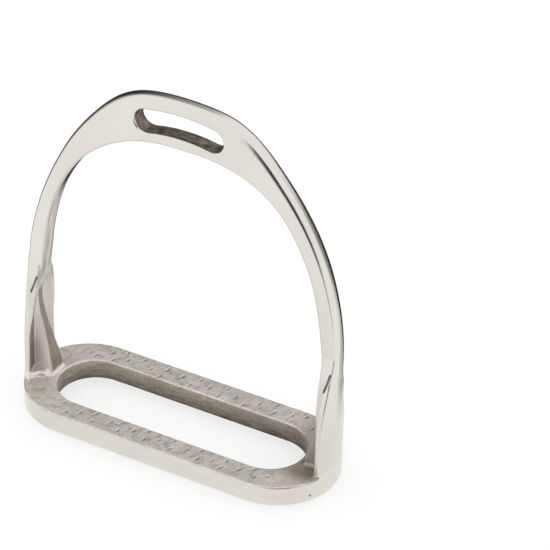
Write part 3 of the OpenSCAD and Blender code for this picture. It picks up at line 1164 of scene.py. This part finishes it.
# dark openings between the studio's white sheets, as a mirror sees them:
# direction, cosine where the dark starts, cosine where it is full, depth of the dark
OPENINGS = [((-0.45, 0.85, -0.28), 0.62, 0.84, 1.0),
            ((0.15, 0.95, -0.27), 0.87, 0.945, 1.0),
            ((-0.85, 0.50, 0.05), 0.68, 0.97, 0.82),
            ((-0.60, 0.65, 0.46), 0.82, 0.98, 0.62),
            ((0.66, -0.70, 0.26), 0.89, 0.95, 1.0),
            ((0.40, -0.91, -0.10), 0.87, 0.98, 0.74),
            ((0.50, 0.86, -0.05), 0.93, 0.98, 0.82)]


def studio(nodes, direction):
    """The colour a mirror sees in each direction: light but for the openings."""
    light = None
    for centre, start, full, depth in OPENINGS:
        cosine = nodes.vector("DOT_PRODUCT", direction, tuple(Vector(centre).normalized()),
                              out="Value")
        opening = nodes.smooth_range(cosine, low=start, high=full, start=1.0, end=1.0 - depth)
        light = opening if light is None else light * opening
    return nodes.mix(light, (0.012, 0.010, 0.008), (1.0, 0.985, 0.955))


def floor_surface(nodes):
    geometry = nodes.add("NewGeometry").outputs
    direction = nodes.scaled(geometry["Incoming"], -1.0)
    # close to the iron the floor mirrors white; further off the openings begin
    distance = nodes.vector("LENGTH", geometry["Position"], out="Value")
    far = nodes.smooth_range(distance, low=0.075, high=0.110)
    mirrored = nodes.mix(far, (0.90, 0.885, 0.855), studio(nodes, direction))
    # a sheet lit from below keeps the ground white with only a breath of shadow
    diffuse = nodes.get("BsdfDiffuse", {"Color": (0.93, 0.93, 0.93)})
    glow = nodes.get("Emission", {"Color": WHITE, "Strength": LIGHT})
    glow_share = 0.55
    return nodes.mix_shader(nodes.get("LightPath", out="Is Glossy Ray"),
                            nodes.mix_shader(glow_share, diffuse, glow),
                            nodes.get("Emission", {"Color": mirrored,
                                                   "Strength": MIRROR_LIGHT}))


def make_floor():
    mesh = bpy.data.meshes.new("floor")
    bm = bmesh.new()
    for x, y in ((-1, -1), (1, -1), (1, 1), (-1, 1)):
        bm.verts.new((x * FLOOR_HALF, y * FLOOR_HALF, FLOOR_Z))
    bm.faces.new(bm.verts[:])
    bm.to_mesh(mesh)
    bm.free()
    floor = make_object("floor", mesh)
    material = make_material("floor_look", floor_surface)
    material.cycles.emission_sampling = "NONE"
    mesh.materials.append(material)


def make_world():
    world = bpy.data.worlds.new("studio")
    bpy.context.scene.world = world
    world.use_nodes = True
    nodes = Nodes(world.node_tree)
    mirrored = studio(nodes, nodes.get("TexCoord", out="Generated"))
    nodes.add("OutputWorld", {0: nodes.mix_shader(
        nodes.get("LightPath", out="Is Glossy Ray"),
        nodes.get("Background", {"Color": WHITE, "Strength": LIGHT}),
        nodes.get("Background", {"Color": mirrored, "Strength": MIRROR_LIGHT}))})


# ------------------------------------------------------------------- camera
LENS, SENSOR = 184.1904, 36.0
YAW, PITCH, ROLL = -0.4792, 0.5988, -0.0302      # radians
# mm from the stations' zero, along the camera's own directions before it is rolled
CAMERA_RIGHT, CAMERA_UP, CAMERA_BACK = 31.0137313, 54.6635821, 975.9053731


def make_camera():
    cos_yaw, sin_yaw = math.cos(YAW), math.sin(YAW)
    cos_pitch, sin_pitch = math.cos(PITCH), math.sin(PITCH)
    cos_roll, sin_roll = math.cos(ROLL), math.sin(ROLL)
    right = Vector((1, 0, 0))
    forward = Vector((0, cos_pitch, -sin_pitch))
    up = Vector((0, sin_pitch, cos_pitch))
    # the RISE terms together lift the camera straight up
    position = (CAMERA_RIGHT * right - (CAMERA_BACK + RISE * sin_pitch) * forward
                + (CAMERA_UP + RISE * cos_pitch) * up)
    rolled_right = cos_roll * right - sin_roll * up
    rolled_up = sin_roll * right + cos_roll * up
    turn = Matrix(((cos_yaw, sin_yaw, 0), (-sin_yaw, cos_yaw, 0), (0, 0, 1)))
    position, rolled_right, rolled_up, forward = (
        turn @ v for v in (position, rolled_right, rolled_up, forward))
    rotation = Matrix((rolled_right, rolled_up, -forward)).transposed().to_4x4()
    data = bpy.data.cameras.new("camera")
    data.sensor_width = SENSOR
    data.lens = LENS
    data.clip_start = 0.05
    data.clip_end = 50
    camera = make_object("camera", data)
    camera.matrix_world = Matrix.Translation(position * MM) @ rotation
    bpy.context.scene.camera = camera


make_floor()
make_world()
make_camera()
bpy.context.scene.view_settings.view_transform = "Standard"
